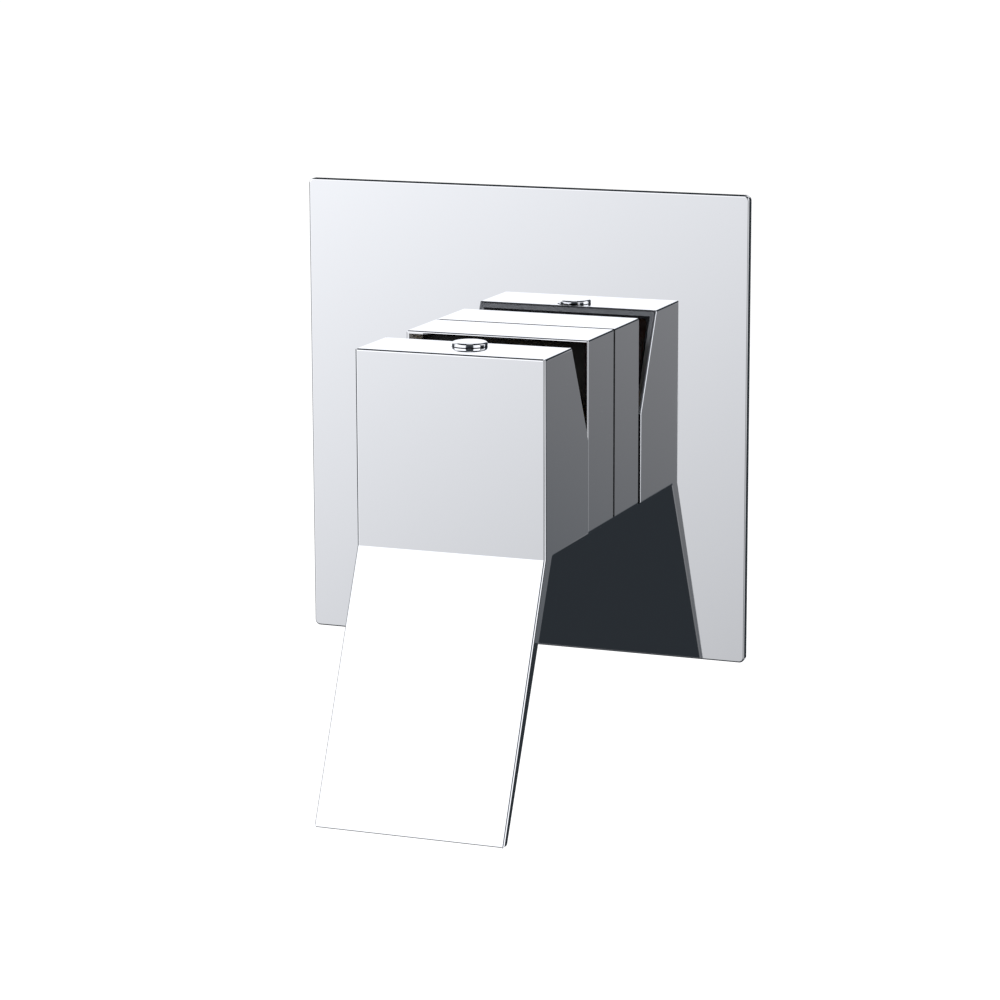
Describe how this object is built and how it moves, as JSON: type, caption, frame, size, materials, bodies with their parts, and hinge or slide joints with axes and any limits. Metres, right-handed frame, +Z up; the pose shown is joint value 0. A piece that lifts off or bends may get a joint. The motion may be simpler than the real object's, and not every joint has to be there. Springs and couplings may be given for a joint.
{
  "type": "concealed shower mixer",
  "caption": "Single-lever concealed shower mixer: square wall plate, square collar, hollow square handle with blade lever, ceramic cartridge and in-wall body with threaded ports.",
  "frame": {"origin": "on the cartridge axis at the finished wall, which is the back of the plate's gasket", "axes": "+Z up, +Y into the wall, +X to the right as seen by the person at the handle"},
  "size_m": [0.12, 0.1259, 0.1496],
  "materials": {
    "polished_chrome": "mirror polished plating",
    "foam": "closed-cell foam",
    "black_plastic": "fine moulded",
    "grey_plastic": "fine moulded",
    "white_plastic": "smooth moulded",
    "red_plastic": "smooth moulded",
    "rubber": "matt",
    "white_ceramic": "lapped",
    "steel": "bright drawn",
    "cast_stem": "zinc casting, satin",
    "zinc_steel": "zinc plated sheet",
    "brass": "raw cast and machined"
  },
  "bodies": {
    "root": {"wall_plate": "polished_chrome", "plate_gasket": "foam", "collar_seal": "rubber", "square_collar": "polished_chrome", "collar_insert": "black_plastic", "neck_o_ring": "rubber", "glide_ring": "white_plastic", "fixed_disc": "white_ceramic", "disc_seals": "rubber", "cartridge_base": "grey_plastic", "port_seals": "rubber", "cartridge_housing": "black_plastic", "retaining_nut": "brass", "valve_body": "brass", "fixing_bracket": "zinc_steel", "bracket_screws": "steel"},
    "rotor": {"rotor": "white_plastic", "hot_limit_ring": "red_plastic", "pivot_pin": "steel"},
    "lever": {"lever_handle": "polished_chrome", "set_screw": "steel", "screw_cap": "polished_chrome", "stem": "cast_stem"},
    "disc": {"disc_carrier": "white_plastic", "moving_disc": "white_ceramic"}
  },
  "joints": [
    {"name": "temperature_turn", "type": "hinge", "parent": "root", "child": "rotor", "pos_m": [0, 0, 0], "axis": [0, 1, 0], "range_deg": [-50, 50]},
    {"name": "lever_lift", "type": "hinge", "parent": "rotor", "child": "lever", "pos_m": [0, -0.0183, 0], "axis": [-1, 0, 0], "range_deg": [0, 25]},
    {"name": "disc_slide", "type": "slide", "parent": "rotor", "child": "disc", "axis": [0, 0, -1], "range_m": [0, 0.00384]}
  ],
  "couplings": [
    {"joint": "disc_slide", "follows": "lever_lift", "m_per_rad": 0.0088}
  ]
}
